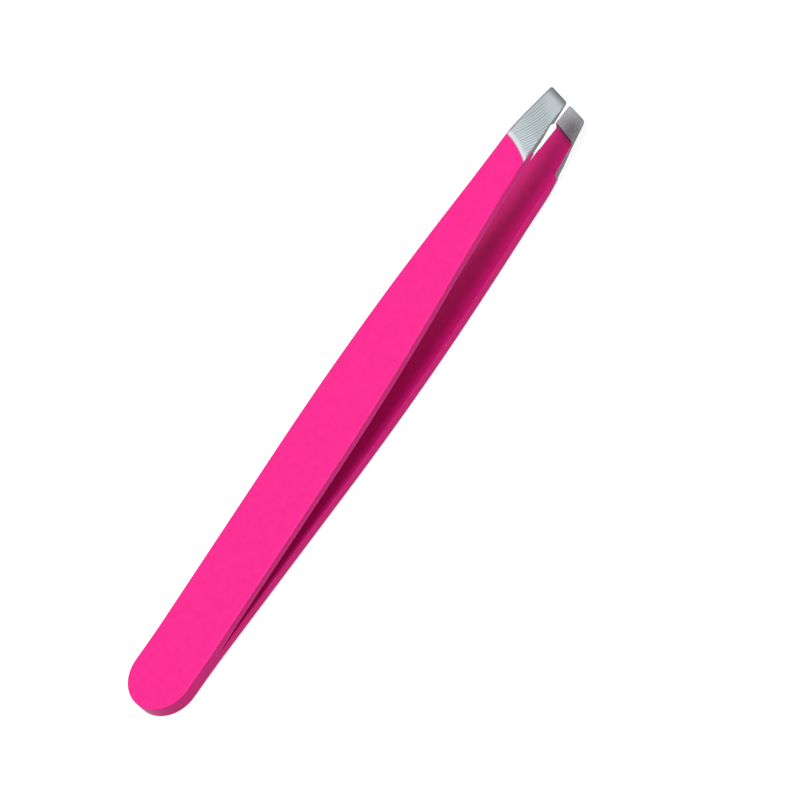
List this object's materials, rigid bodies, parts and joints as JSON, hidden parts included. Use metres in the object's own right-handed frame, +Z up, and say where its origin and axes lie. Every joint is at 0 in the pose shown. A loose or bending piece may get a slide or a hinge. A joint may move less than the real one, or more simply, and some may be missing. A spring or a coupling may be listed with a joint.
{
  "type": "slant tweezers",
  "caption": "Slant tweezers: sprung steel arms welded at a rounded butt, coated in pink enamel, with bare ground tips ending in a slanted gripping edge.",
  "frame": {"origin": "on the surface the tweezers lie on, under the middle of their box", "axes": "+X from the butt to the tips, +Z up, +Y towards the long point of the slanted edge; the tweezers lie on the back of the lower arm, so the plane between the arms rises 2.39 degrees towards the tips"},
  "size_m": [0.095, 0.0096, 0.0087],
  "materials": {
    "spring_steel": "stainless steel, tips ground with fine curved lines",
    "weld_steel": "fused steel, hidden between the arms",
    "pink_enamel": "satin baked enamel, very fine texture"
  },
  "bodies": {
    "heel": {"upper_heel": "spring_steel", "lower_heel": "spring_steel", "weld_nugget_butt": "weld_steel", "weld_nugget_throat": "weld_steel", "heel_coat": "pink_enamel"},
    "upper_arm": {"upper_blade": "spring_steel", "upper_blade_coat": "pink_enamel"},
    "lower_arm": {"lower_blade": "spring_steel", "lower_blade_coat": "pink_enamel"}
  },
  "joints": [
    {"name": "upper_arm_flex", "type": "hinge", "parent": "heel", "child": "upper_arm", "pos_m": [-0.02527, 0, 0.00253], "axis": [0, 1, 0], "range_deg": [0, 1.99], "stiffness_Nm_per_rad": 3.75},
    {"name": "lower_arm_flex", "type": "hinge", "parent": "heel", "child": "lower_arm", "pos_m": [-0.02522, 0, 0.00139], "axis": [0, -1, 0], "range_deg": [0, 1.99], "stiffness_Nm_per_rad": 3.75}
  ],
  "couplings": [
    {"joint": "lower_arm_flex", "follows": "upper_arm_flex", "ratio": 1}
  ]
}
